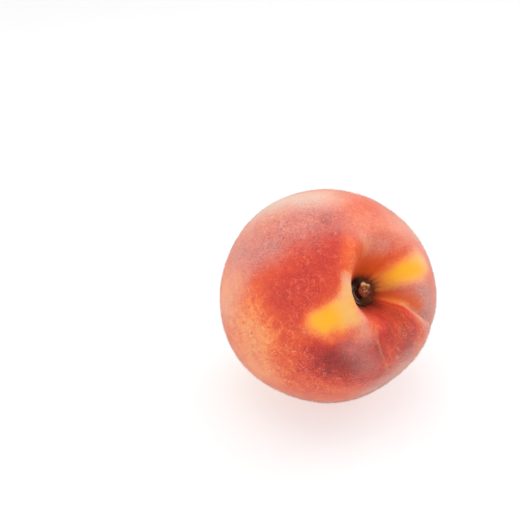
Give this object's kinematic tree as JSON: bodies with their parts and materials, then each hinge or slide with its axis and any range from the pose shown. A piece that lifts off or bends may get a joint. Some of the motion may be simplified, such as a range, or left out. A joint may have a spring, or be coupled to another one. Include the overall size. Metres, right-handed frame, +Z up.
{
  "type": "peach",
  "caption": "Whole ripe peach lying on its cheek, with a suture crease, a deep stem hollow and the woody stub of its stalk in it; for food displays, stalls and still lifes.",
  "frame": {"origin": "on the surface the fruit rests on, under the middle of its outline; the flat it rests on lies there", "axes": "+Z up from the resting flat; the core points to the stalk at -Y and +X, 33 degrees over the surface"},
  "size_m": [0.0752, 0.0742, 0.0743],
  "materials": {
    "skin": "velvety downy skin, red blush over yellow",
    "bark": "rough dark bark"
  },
  "bodies": {
    "root": {"fruit": "skin", "stem_stub": "bark"}
  },
  "joints": []
}
